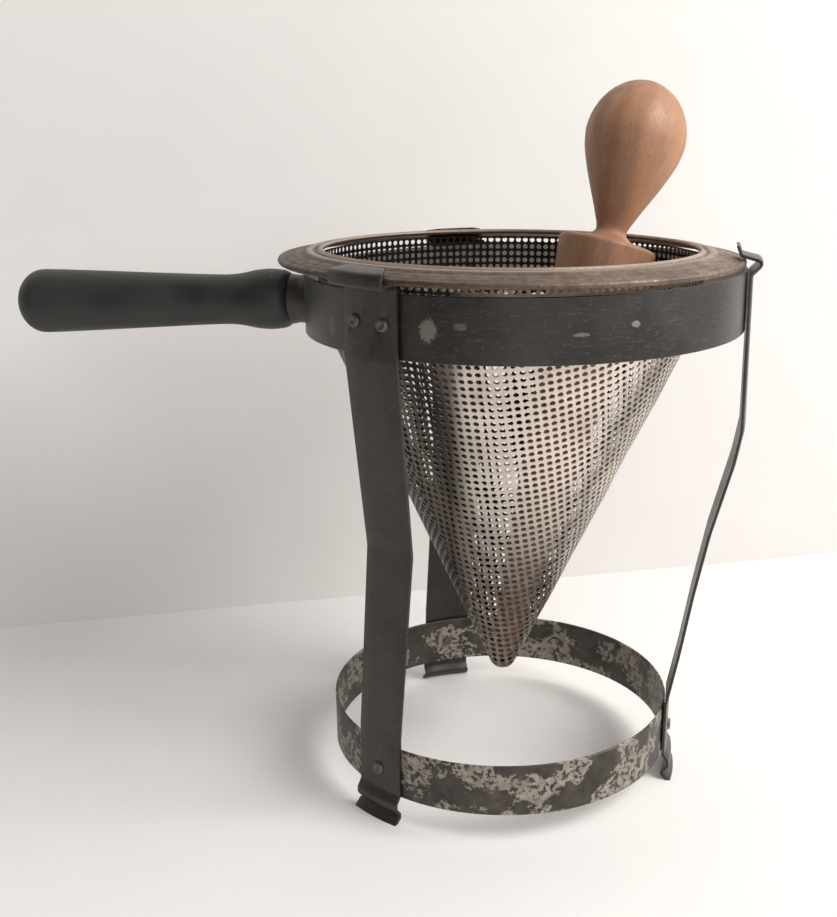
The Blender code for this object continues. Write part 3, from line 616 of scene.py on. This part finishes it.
class RICER_OT_cone(bpy.types.Operator):
    """Punch a flat sheet, roll it into the cone and lap its edges"""
    bl_idname = "ricer.cone"
    bl_label = "Perforated cone"

    def execute(self, context):
        sizes = context.scene.ricer_sieve
        pitch = sizes.pitch
        tin = tinned_sheet("tinned_punched_sheet", sizes.tin, sizes.dull_and_shade_tint)
        far = (SHOULDER - CONE_APEX) * MM / cos(HALF_ANGLE)
        spread = pi * sin(HALF_ANGLE)
        count = int(2.15 * far / pitch) + 1
        cone = punched_cells("perforated_cone", pitch, sizes.hole, count, count)
        shift = Vector((-(count - 1) / 2.0 * pitch, -(count - 1) / 2.0 * pitch, 0.0))
        # The punched rows run level round the cone at one heading only, and wind up from there.
        turn = Matrix.Rotation(radians(SEAM_HEADING + 180.0 - ROWS_LEVEL_AT) * sin(HALF_ANGLE), 4, "Z")
        for vert in cone.data.vertices:
            vert.co = turn @ (vert.co + shift)
        # The sheet is cut to a sector about the cone's point: two straight edges and the curve under the collar.
        for side in (-1.0, 1.0):
            cut_away(cone, (0.0, 0.0, 0.0), (side * cos(spread), -sin(spread), 0.0))
        self.roll(cone)
        cut_away(cone, (0.0, 0.0, SHOULDER * MM), (0.0, 0.0, 1.0))
        cut_away(cone, (0.0, 0.0, CONE_FOOT * MM), (0.0, 0.0, -1.0))
        self.dent(cone)
        apply_modifier(cone, "SOLIDIFY", thickness=sizes.wall, offset=-1.0, use_even_offset=False)
        put(cone, RIM_MIDDLE, SIEVE_AXIS)
        finish_piece(cone, tin, "sieve", ("sieve_cone",), 50.0)
        self.lap(tinned_sheet("soldered_lap", "#6d675f", "#57514a", 0.35))
        return {"FINISHED"}

    def roll(self, cone):
        for vert in cone.data.vertices:
            slant = hypot(vert.co.x, vert.co.y)
            round_cone = atan2(vert.co.x, vert.co.y) / sin(HALF_ANGLE) + radians(SEAM_HEADING) + pi
            radius = slant * sin(HALF_ANGLE)
            vert.co = (radius * cos(round_cone), radius * sin(round_cone), CONE_APEX * MM + slant * cos(HALF_ANGLE))
        only(cone)
        bpy.ops.object.mode_set(mode="EDIT")
        bpy.ops.mesh.select_all(action="SELECT")
        bpy.ops.mesh.flip_normals()
        bpy.ops.object.mode_set(mode="OBJECT")

    def dent(self, cone):
        for vert in cone.data.vertices:
            out = Vector((vert.co.x, vert.co.y, 0.0)).normalized()
            room = min(1.0, (SHOULDER * MM - vert.co.z) / 0.012, (vert.co.z - CONE_FOOT * MM) / 0.02)
            vert.co += out * hand_dents(vert.co, 0.35 * MM) * max(0.0, room)

    def lap(self, solder):
        """The lapped edges: a strip, wide at the collar and narrow at the foot, soldered over the cut holes."""
        rows, columns = 24, 4
        bpy.ops.object.select_all(action="DESELECT")
        bpy.ops.mesh.primitive_grid_add(x_subdivisions=columns, y_subdivisions=rows, size=1.0)
        strip = context_object("soldered_lap")
        for vert in strip.data.vertices:
            share = vert.co.y + 0.5
            height = CONE_FOOT + 1.0 + (SHOULDER - CONE_FOOT - 1.0) * share
            radius = (height - CONE_APEX) * CONE_SLOPE + 0.12 - 0.10 * abs(vert.co.x) * 2.0
            width = 3.2 + 7.0 * share + 0.7 * noise.noise(Vector((vert.co.x * 3.0, share * 14.0, 2.0)))
            heading = radians(SEAM_HEADING) + vert.co.x * width / max(radius, 6.0)
            vert.co = (radius * MM * cos(heading), radius * MM * sin(heading), height * MM)
        face_out(strip)
        apply_modifier(strip, "SOLIDIFY", thickness=0.75 * MM, offset=-1.0)
        put(strip, RIM_MIDDLE, SIEVE_AXIS)
        finish_piece(strip, solder, "sieve", ())


def context_object(name):
    item = bpy.context.object
    item.name = item.data.name = name
    return item


def face_out(item):
    """Turn the faces of an open sheet so that they point away from the upright axis."""
    total = sum(face.normal.dot(Vector((face.center.x, face.center.y, 0.0))) for face in item.data.polygons)
    if total < 0.0:
        only(item)
        bpy.ops.object.mode_set(mode="EDIT")
        bpy.ops.mesh.select_all(action="SELECT")
        bpy.ops.mesh.flip_normals()
        bpy.ops.object.mode_set(mode="OBJECT")


class RICER_OT_collar(bpy.types.Operator):
    """Roll the punched strip that stands inside the rim"""
    bl_idname = "ricer.collar"
    bl_label = "Perforated collar"

    def execute(self, context):
        sizes = context.scene.ricer_sieve
        count = round(2.0 * pi * COLLAR_RADIUS * MM / sizes.pitch)
        rows = round((COLLAR_TOP - SHOULDER) * MM / sizes.pitch)
        collar = punched_cells("perforated_collar", sizes.pitch, sizes.hole, count, rows)
        stretch = (COLLAR_TOP - SHOULDER) * MM / (rows * sizes.pitch)
        for vert in collar.data.vertices:
            heading = 2.0 * pi * (vert.co.x / sizes.pitch + 0.5) / count
            height = SHOULDER * MM + (vert.co.y + sizes.pitch / 2.0) * stretch
            radius = COLLAR_RADIUS * MM
            vert.co = (radius * cos(heading), radius * sin(heading), height)
        only(collar)
        bpy.ops.object.mode_set(mode="EDIT")
        bpy.ops.mesh.select_all(action="SELECT")
        bpy.ops.mesh.remove_doubles(threshold=0.01 * MM)
        bpy.ops.object.mode_set(mode="OBJECT")
        face_out(collar)
        apply_modifier(collar, "SOLIDIFY", thickness=sizes.wall, offset=-1.0)
        put(collar, RIM_MIDDLE, SIEVE_AXIS)
        finish_piece(collar, tinned_sheet("tinned_collar", sizes.tin, sizes.dull_and_shade_tint, 0.25), "sieve", (),
                     50.0)
        return {"FINISHED"}


class RICER_OT_rim(bpy.types.Operator):
    """Spin the rim: inner bead, groove, ridge, sloping flange and rolled outer bead"""
    bl_idname = "ricer.rim"
    bl_label = "Rim and foot cap"

    def execute(self, context):
        bead = 97.6
        outline = arc((80.9, 3.6), 1.1, 262.0, 55.0, 12)
        outline += [(82.2, 3.5), (83.0, 3.3), (83.7, 3.6), (84.5, 3.95), (85.5, 4.05), (86.5, 3.9), (87.4, 3.5)]
        outline += [(88.6, 3.05), (88.9, 2.85), (91.2, 2.5), (91.5, 2.55), (91.8, 2.4), (94.3, 1.9), (95.6, 1.45),
                    (96.2, 1.05), (96.7, 1.02)]
        outline += arc((bead, 0.0), 1.3, 118.0, -165.0, 18)
        outline += [(95.6, 0.35), (92.0, 1.3), (88.0, 2.2), (86.4, 2.8), (84.4, 2.6), (82.8, 2.2)]
        rim = spin_up("spun_rim", outline, 160, closed=True)
        put(rim, RIM_MIDDLE, SIEVE_AXIS)
        stand = context.scene.ricer_stand
        finish_piece(rim, spun_rim("aged_spun_tinplate", stand.rim), "sieve", ("sieve_rim",), 60.0)
        reach, low = (CONE_FOOT - CONE_APEX) * CONE_SLOPE, CONE_FOOT
        cup = [(0.0, low - 2.9), (reach * 0.4, low - 2.75), (reach * 0.72, low - 2.2), (reach * 0.92, low - 1.3),
               (reach + 0.25, low - 0.3), (reach + 0.35, low + 0.5), (reach + 0.55, low + 1.0),
               (reach - 0.35, low + 1.0), (reach - 0.45, low - 0.4), (reach * 0.6, low - 1.5), (0.0, low - 2.1)]
        cap = spin_up("foot_cap", cup, 40)
        put(cap, RIM_MIDDLE, SIEVE_AXIS)
        sizes = context.scene.ricer_sieve
        finish_piece(cap, tinned_sheet("tinned_cap", sizes.dull_and_shade_tint, "#5f574f", 0.3), "sieve", ("sieve_tip",))
        return {"FINISHED"}


# --------------------------------------------------------------------------- stand

def hoop(name, radius, low, high, shift, tilt, steps, deep):
    """A hoop of sheet with eased edges and the slight waves of hand work."""
    half, edge, inner = (high - low) / 2.0, 0.3, radius - SHEET
    outer_face = [(radius, -half + edge + (2.0 * half - 2.0 * edge) * k / 4.0) for k in range(5)]
    inner_face = [(inner, half - edge - (2.0 * half - 2.0 * edge) * k / 4.0) for k in range(5)]
    outline = [(inner + edge, -half), (radius - edge, -half)] + outer_face
    outline += [(radius - edge, half), (inner + edge, half)] + inner_face
    item = spin_up(name, outline, steps, closed=True)
    for vert in item.data.vertices:
        heading = atan2(vert.co.y, vert.co.x)
        out = Vector((cos(heading), sin(heading), 0.0))
        vert.co += out * deep * noise.noise(out * 2.1 + Vector((0.0, 0.0, vert.co.z * 30.0)))
    put(item, Vector((STAND_X + shift * MM, STAND_Y, (low + high) / 2.0 * MM)), sinking(tilt))
    return item


class RICER_OT_hoops(bpy.types.Operator):
    """Bend the upper band and the base ring"""
    bl_idname = "ricer.hoops"
    bl_label = "Band and base ring"

    def execute(self, context):
        stand = context.scene.ricer_stand
        middle = Vector((STAND_X + BAND_SHIFT * MM, STAND_Y, 0.0))

        def on_band(heading, height):
            return middle + Vector((BAND_RADIUS * MM * cos(radians(heading)),
                                    BAND_RADIUS * MM * sin(radians(heading)),
                                    height * MM))

        marks = ((on_band(-103.1, 221.1), (3.6 * MM, 4.0 * MM, 4.4 * MM), 0.75),
                 (on_band(-95.4, 223.4), (2.6 * MM, 2.0 * MM, 1.4 * MM), 0.35),
                 (on_band(-68.2, 221.1), (3.2 * MM, 2.0 * MM, 0.8 * MM), 0.6),
                 (on_band(-55.4, 224.0), (1.7 * MM, 1.7 * MM, 1.2 * MM), 0.95),
                 (on_band(-134.2, 217.0), (2.6 * MM, 2.6 * MM, 4.0 * MM), 0.2))
        band = hoop("upper_band_steel", BAND_RADIUS, BAND_LOW, BAND_HIGH, BAND_SHIFT, BAND_TILT, 128, 0.12 * MM)
        inside = (middle + UP * (BAND_LOW + BAND_HIGH) / 2.0 * MM, sinking(BAND_TILT))
        finish_piece(band, blackened_steel("blackened_band", stand.steel, stand.rubbed, marks, 0.36, inside), "stand",
                     ("upper_band",))
        ring = hoop("base_ring_steel", RING_RADIUS, RING_LOW, RING_HIGH, RING_SHIFT, RING_TILT, 112, 0.12 * MM)
        finish_piece(ring, flaking_tin("flaking_tin_on_steel", "#3d3834", stand.flake), "stand", ("base_ring",))
        return {"FINISHED"}


class RICER_OT_legs(bpy.types.Operator):
    """Finish the three strap legs; the catch strip springs at the base ring"""
    bl_idname = "ricer.legs"
    bl_label = "Strap legs and catch"

    def execute(self, context):
        stand = context.scene.ricer_stand
        steel = blackened_steel("blackened_strap", stand.steel, stand.rubbed)
        for label in ("front_leg", "back_leg"):
            leg = copy_of((label,), f"{label}_strap")
            self.ease(leg)
            finish_piece(leg, steel, "stand", (label,), 40.0)
        catch = copy_of(("catch_leg", "catch_foot"), "catch_strap")
        self.close_gap(catch)
        self.ease(catch)
        finish_piece(catch, steel, None, ("catch_leg", "catch_foot"), 40.0)
        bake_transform(catch)
        return {"FINISHED"}

    def ease(self, item):
        """Rub the sharp edges down a little."""
        apply_modifier(item, "BEVEL", width=0.22 * MM, segments=2, limit_method="ANGLE", angle_limit=radians(50.0))

    def close_gap(self, item):
        """The strip is one piece: drop the two faces that meet at the spring line, and join the edges there."""
        drop_faces(item, lambda face: abs(face.center.z - HINGE.z) < 0.25 * MM and abs(face.normal.z) > 0.8)
        bpy.ops.object.mode_set(mode="EDIT")
        bpy.ops.mesh.select_all(action="DESELECT")
        bpy.ops.object.mode_set(mode="OBJECT")
        for vert in item.data.vertices:
            vert.select = abs(vert.co.z - HINGE.z) < 0.25 * MM
        bpy.ops.object.mode_set(mode="EDIT")
        bpy.ops.mesh.remove_doubles(threshold=0.45 * MM)
        bpy.ops.object.mode_set(mode="OBJECT")


class RICER_OT_rivets(bpy.types.Operator):
    """Form one rivet and set a copy in each hole"""
    bl_idname = "ricer.rivets"
    bl_label = "Rivets"

    def execute(self, context):
        steel = blackened_steel("hammered_rivet", "#4a453f", "#9b948a", (), 0.34)
        for label in sorted(name for name in frame["nodes"] if "_rivet_" in name):
            low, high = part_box(label)
            middle = (Vector(low) + Vector(high)) / 2.0
            source = frame["nodes"][label]
            spread = [vert.co - middle for vert in source.data.vertices]
            along = self.axis_of(spread)
            reach = [point.dot(along) for point in spread]
            head = [(0.0, 0.62), (0.55, 0.66), (1.0, 0.95), (1.35, 1.22), (1.8, 1.22), (2.35, 0.95), (2.7, 0.5),
                    (2.78, 0.12), (1.5, 0.12)]
            length = (max(reach) - min(reach)) / MM
            top = max(reach) / MM
            lift = top - 1.56
            tail = -length + top
            outline = [(radius, height + lift) for radius, height in head]
            outline += [(1.5, tail + 0.9), (2.4, tail + 0.9), (2.25, tail + 0.35), (1.4, tail + 0.02), (0.0, tail)]
            rivet = spin_up(f"{label}_formed", outline, 20)
            put(rivet, middle, along)
            finish_piece(rivet, steel, "stand", (label,), 40.0)
        return {"FINISHED"}

    def axis_of(self, points):
        """The outward direction of a rivet: the level line from the hoop's middle through its narrow shank."""
        best, direction = None, None
        for step in range(360):
            heading = radians(step)
            trial = Vector((cos(heading), sin(heading), 0.0))
            side = Vector((-trial.y, trial.x, 0.0))
            width = max(abs(point.dot(side)) for point in points)
            if best is None or width < best:
                best, direction = width, trial
        middle = sum((point for point in points), Vector()) / len(points)
        far = [point for point in points if point.dot(direction) > middle.dot(direction)]
        wide = max((point - direction * point.dot(direction)).length for point in far)
        near = [point for point in points if point.dot(direction) <= middle.dot(direction)]
        other = max((point - direction * point.dot(direction)).length for point in near)
        return direction if wide > other else -direction


# -------------------------------------------------------------------------- handle

class RICER_OT_handle(bpy.types.Operator):
    """Turn the painted grip and its ferrule"""
    bl_idname = "ricer.handle"
    bl_label = "Handle"

    def execute(self, context):
        wood = context.scene.ricer_wood
        root = Vector((STAND_X, STAND_Y, HANDLE_HEIGHT * MM))
        along = Vector((-cos(radians(HANDLE_DROOP)), 0.0, -sin(radians(HANDLE_DROOP))))
        knots = [(10.6, 0.3), (12.8, 3.2), (13.6, 9.5), (13.2, 16.5), (11.9, 23.5), (11.3, 31.0), (11.7, 46.0),
                 (13.2, 80.0), (14.5, 110.0), (14.9, 122.0)]
        end_round = [(14.9 * cos(radians(a)), GRIP_LENGTH - 12.0 + 12.0 * sin(radians(a)))
                     for a in (8, 16, 24, 32, 40, 48, 56, 64, 72, 81)]
        outline = [(0.0, 46.0), (BOLT_BORE, 45.0), (BOLT_BORE, 0.4), (3.2, 0.1), (9.8, 0.0)]
        outline += smooth_curve(knots, 5) + end_round + [(0.0, GRIP_LENGTH)]
        grip = spin_up("painted_grip", [(radius, height + HANDLE_SEAT) for radius, height in outline], 64)
        put(grip, root, along)
        finish_piece(grip, worn_paint("worn_dark_paint", wood.paint), "stand", ("handle_grip",))
        dark = blackened_steel("dull_iron_ferrule", "#2c2a28", "#67615a", (), 0.44)
        ferrule = copy_of(("handle_ferrule",), "iron_ferrule")
        apply_modifier(ferrule, "BEVEL", width=0.35 * MM, segments=3, limit_method="ANGLE", angle_limit=radians(50.0))
        finish_piece(ferrule, dark, "stand", ("handle_ferrule",), 40.0)
        bolt = frame["nodes"]["handle_bolt"]
        bolt.data.materials.clear()
        bolt.data.materials.append(dark)
        return {"FINISHED"}


class RICER_OT_pestle(bpy.types.Operator):
    """Turn the beech pestle: blunt cone, shoulder, thin neck and pear-shaped knob"""
    bl_idname = "ricer.pestle"
    bl_label = "Pestle"

    def execute(self, context):
        wood = context.scene.ricer_wood
        shoulder, neck, knob, top, tip = 198.5, 204.3, 246.8, 272.8, 5.0
        nose = [(tip * sin(radians(a)), tip - tip * cos(radians(a))) for a in (0, 14, 28, 42, 56)]
        body = smooth_curve([(tip + 0.2, 5.5), (7.2, 25.0), (9.6, 50.0), (14.2, 105.0), (18.6, 160.0),
                             (22.3, shoulder - 2.6)], 4)
        edge = [(22.42, shoulder - 1.6), (22.35, shoulder - 0.8), (21.8, shoulder - 0.15), (20.9, shoulder + 0.2)]
        waist = smooth_curve([(19.0, shoulder + 0.55), (14.5, shoulder + 1.3), (10.2, shoulder + 2.6),
                              (7.0, neck), (9.4, neck + 7.0), (13.6, neck + 16.0), (17.9, neck + 25.5),
                              (21.4, neck + 35.0), (22.7, knob)], 6)
        cap = [(22.7 * cos(radians(a)), knob + (top - knob) * sin(radians(a))) for a in range(7, 90, 7)]
        outline = nose + body + edge + waist + cap + [(0.0, top)]
        pestle = spin_up("beech_pestle", [(radius, height - tip) for radius, height in outline], 72)
        put(pestle, PESTLE_FOOT, PESTLE_AXIS)
        finish_piece(pestle, oiled_beech("oiled_turned_beech", wood.beech, wood.grain), "pestle", ("pestle",),
                     40.0)
        return {"FINISHED"}


# --------------------------------------------------------------------------- stage

def set_up_camera(sizes):
    """The camera stands in front of the front leg's side, a little above the rim, and looks down."""
    pitch, yaw, roll = radians(16.79), radians(-4.2), radians(-0.23)
    out = Vector((cos(sizes.heading), sin(sizes.heading), 0.0))
    across = Vector((-out.y, out.x, 0.0))
    forward = across * sin(yaw) * cos(pitch) - out * cos(yaw) * cos(pitch) - UP * sin(pitch)
    level = across * cos(yaw) + out * sin(yaw)
    above = level.cross(forward)
    side = level * cos(roll) + above * sin(roll)
    top = above * cos(roll) - level * sin(roll)
    data = bpy.data.cameras.new("view")
    data.sensor_fit = "VERTICAL"
    data.sensor_height = 36.0
    data.lens = 48.76
    data.clip_start = 0.01
    camera = bpy.data.objects.new("view", data)
    bpy.context.scene.collection.objects.link(camera)
    place = Vector((STAND_X, STAND_Y, 0.308)) + out * sizes.distance
    camera.matrix_world = Matrix.Translation(place) @ Matrix((side, top, -forward)).transposed().to_4x4()
    bpy.context.scene.camera = camera


def add_lamp(name, place, target, size, power, colour):
    data = bpy.data.lights.new(name, "AREA")
    data.shape = "RECTANGLE"
    data.size, data.size_y = size
    data.energy = power
    data.color = linear(colour)[:3]
    lamp = bpy.data.objects.new(name, data)
    bpy.context.scene.collection.objects.link(lamp)
    lamp.location = place
    lamp.rotation_euler = (Vector(target) - Vector(place)).to_track_quat("-Z", "Y").to_euler()


class RICER_OT_stage(bpy.types.Operator):
    """Lay the pale table and wall, the window light and the camera"""
    bl_idname = "ricer.stage"
    bl_label = "Stage"

    def execute(self, context):
        sizes = context.scene.ricer_stage
        board = painted_board("matt_white_board", sizes.backdrop)
        deselect()
        bpy.ops.mesh.primitive_plane_add(size=8.0, location=(0.0, 0.0, 0.0))
        table = context_object("table")
        table.data.materials.append(board)
        # The wall crosses the view at a slant, about a hand's length behind the ring.
        left = Vector((STAND_X - 0.3124, STAND_Y + 0.0713, 0.0))
        right = Vector((STAND_X + 0.1809, STAND_Y + 0.3072, 0.0))
        run = (right - left).normalized()
        bpy.ops.mesh.primitive_plane_add(size=6.0, location=(0.0, 0.0, 0.0))
        wall = context_object("wall")
        wall.rotation_euler = (pi / 2.0, 0.0, atan2(run.y, run.x))
        wall.location = (left + right) / 2.0 + Vector((0.0, 0.0, 2.9))
        wall.data.materials.append(painted_board("pale_wall", "#dfdcd9", one_sided=True))
        world = bpy.data.worlds.new("room")
        world.use_nodes = True
        tree = world.node_tree
        facing = node(tree, "ShaderNodeTexCoord").outputs["Generated"]
        side = node(tree, "ShaderNodeSeparateXYZ", {"Vector": facing}).outputs["X"]
        from_right = node(tree, "ShaderNodeMapRange", {"Value": side, "From Min": -0.8, "From Max": 0.9}).outputs[0]
        shade = node(tree, "ShaderNodeMix", {0: from_right, 6: linear("#2e2b2a"), 7: linear("#ffffff")},
                     data_type="RGBA").outputs[2]
        tree.links.new(shade, tree.nodes["Background"].inputs["Color"])
        tree.nodes["Background"].inputs["Strength"].default_value = 0.58
        context.scene.world = world
        middle = (STAND_X, STAND_Y, 0.12)
        add_lamp("window", (STAND_X + 1.05, STAND_Y - 0.2, 1.0), middle, (0.9, 0.9), 21.5, "#fffdfb")
        add_lamp("window_front", (STAND_X + 0.25, STAND_Y - 1.15, 0.55), middle, (0.5, 0.7), 2.2, "#fffdfb")
        set_up_camera(sizes)
        context.scene.view_settings.view_transform = "Standard"
        return {"FINISHED"}


class RICER_PT_panel(bpy.types.Panel):
    """Lists the pieces of the ricer"""
    bl_idname = "RICER_PT_panel"
    bl_label = "Cone Potato Ricer"
    bl_space_type = "VIEW_3D"
    bl_region_type = "UI"
    bl_category = "Ricer"

    def draw(self, context):
        for group in ("ricer_sieve", "ricer_stand", "ricer_wood", "ricer_stage"):
            box = self.layout.box()
            settings = getattr(context.scene, group)
            for name in settings.__annotations__:
                box.prop(settings, name)
        for operator in OPERATORS:
            self.layout.operator(operator.bl_idname)


GROUPS = (("ricer_sieve", RicerSieve), ("ricer_stand", RicerStand), ("ricer_wood", RicerWood),
          ("ricer_stage", RicerStage))
OPERATORS = (RICER_OT_stage, RICER_OT_hoops, RICER_OT_legs, RICER_OT_rivets, RICER_OT_handle, RICER_OT_rim,
             RICER_OT_collar, RICER_OT_cone, RICER_OT_pestle)


def register():
    for name, group in GROUPS:
        bpy.utils.register_class(group)
        setattr(bpy.types.Scene, name, bpy.props.PointerProperty(type=group))
    for operator in OPERATORS:
        bpy.utils.register_class(operator)
    bpy.utils.register_class(RICER_PT_panel)


def unregister():
    bpy.utils.unregister_class(RICER_PT_panel)
    for operator in reversed(OPERATORS):
        bpy.utils.unregister_class(operator)
    for name, group in reversed(GROUPS):
        delattr(bpy.types.Scene, name)
        bpy.utils.unregister_class(group)


def main():
    register()
    for operator in OPERATORS:
        family, name = operator.bl_idname.split(".")
        getattr(getattr(bpy.ops, family), name)()
    deselect()


if __name__ == "__main__":
    main()
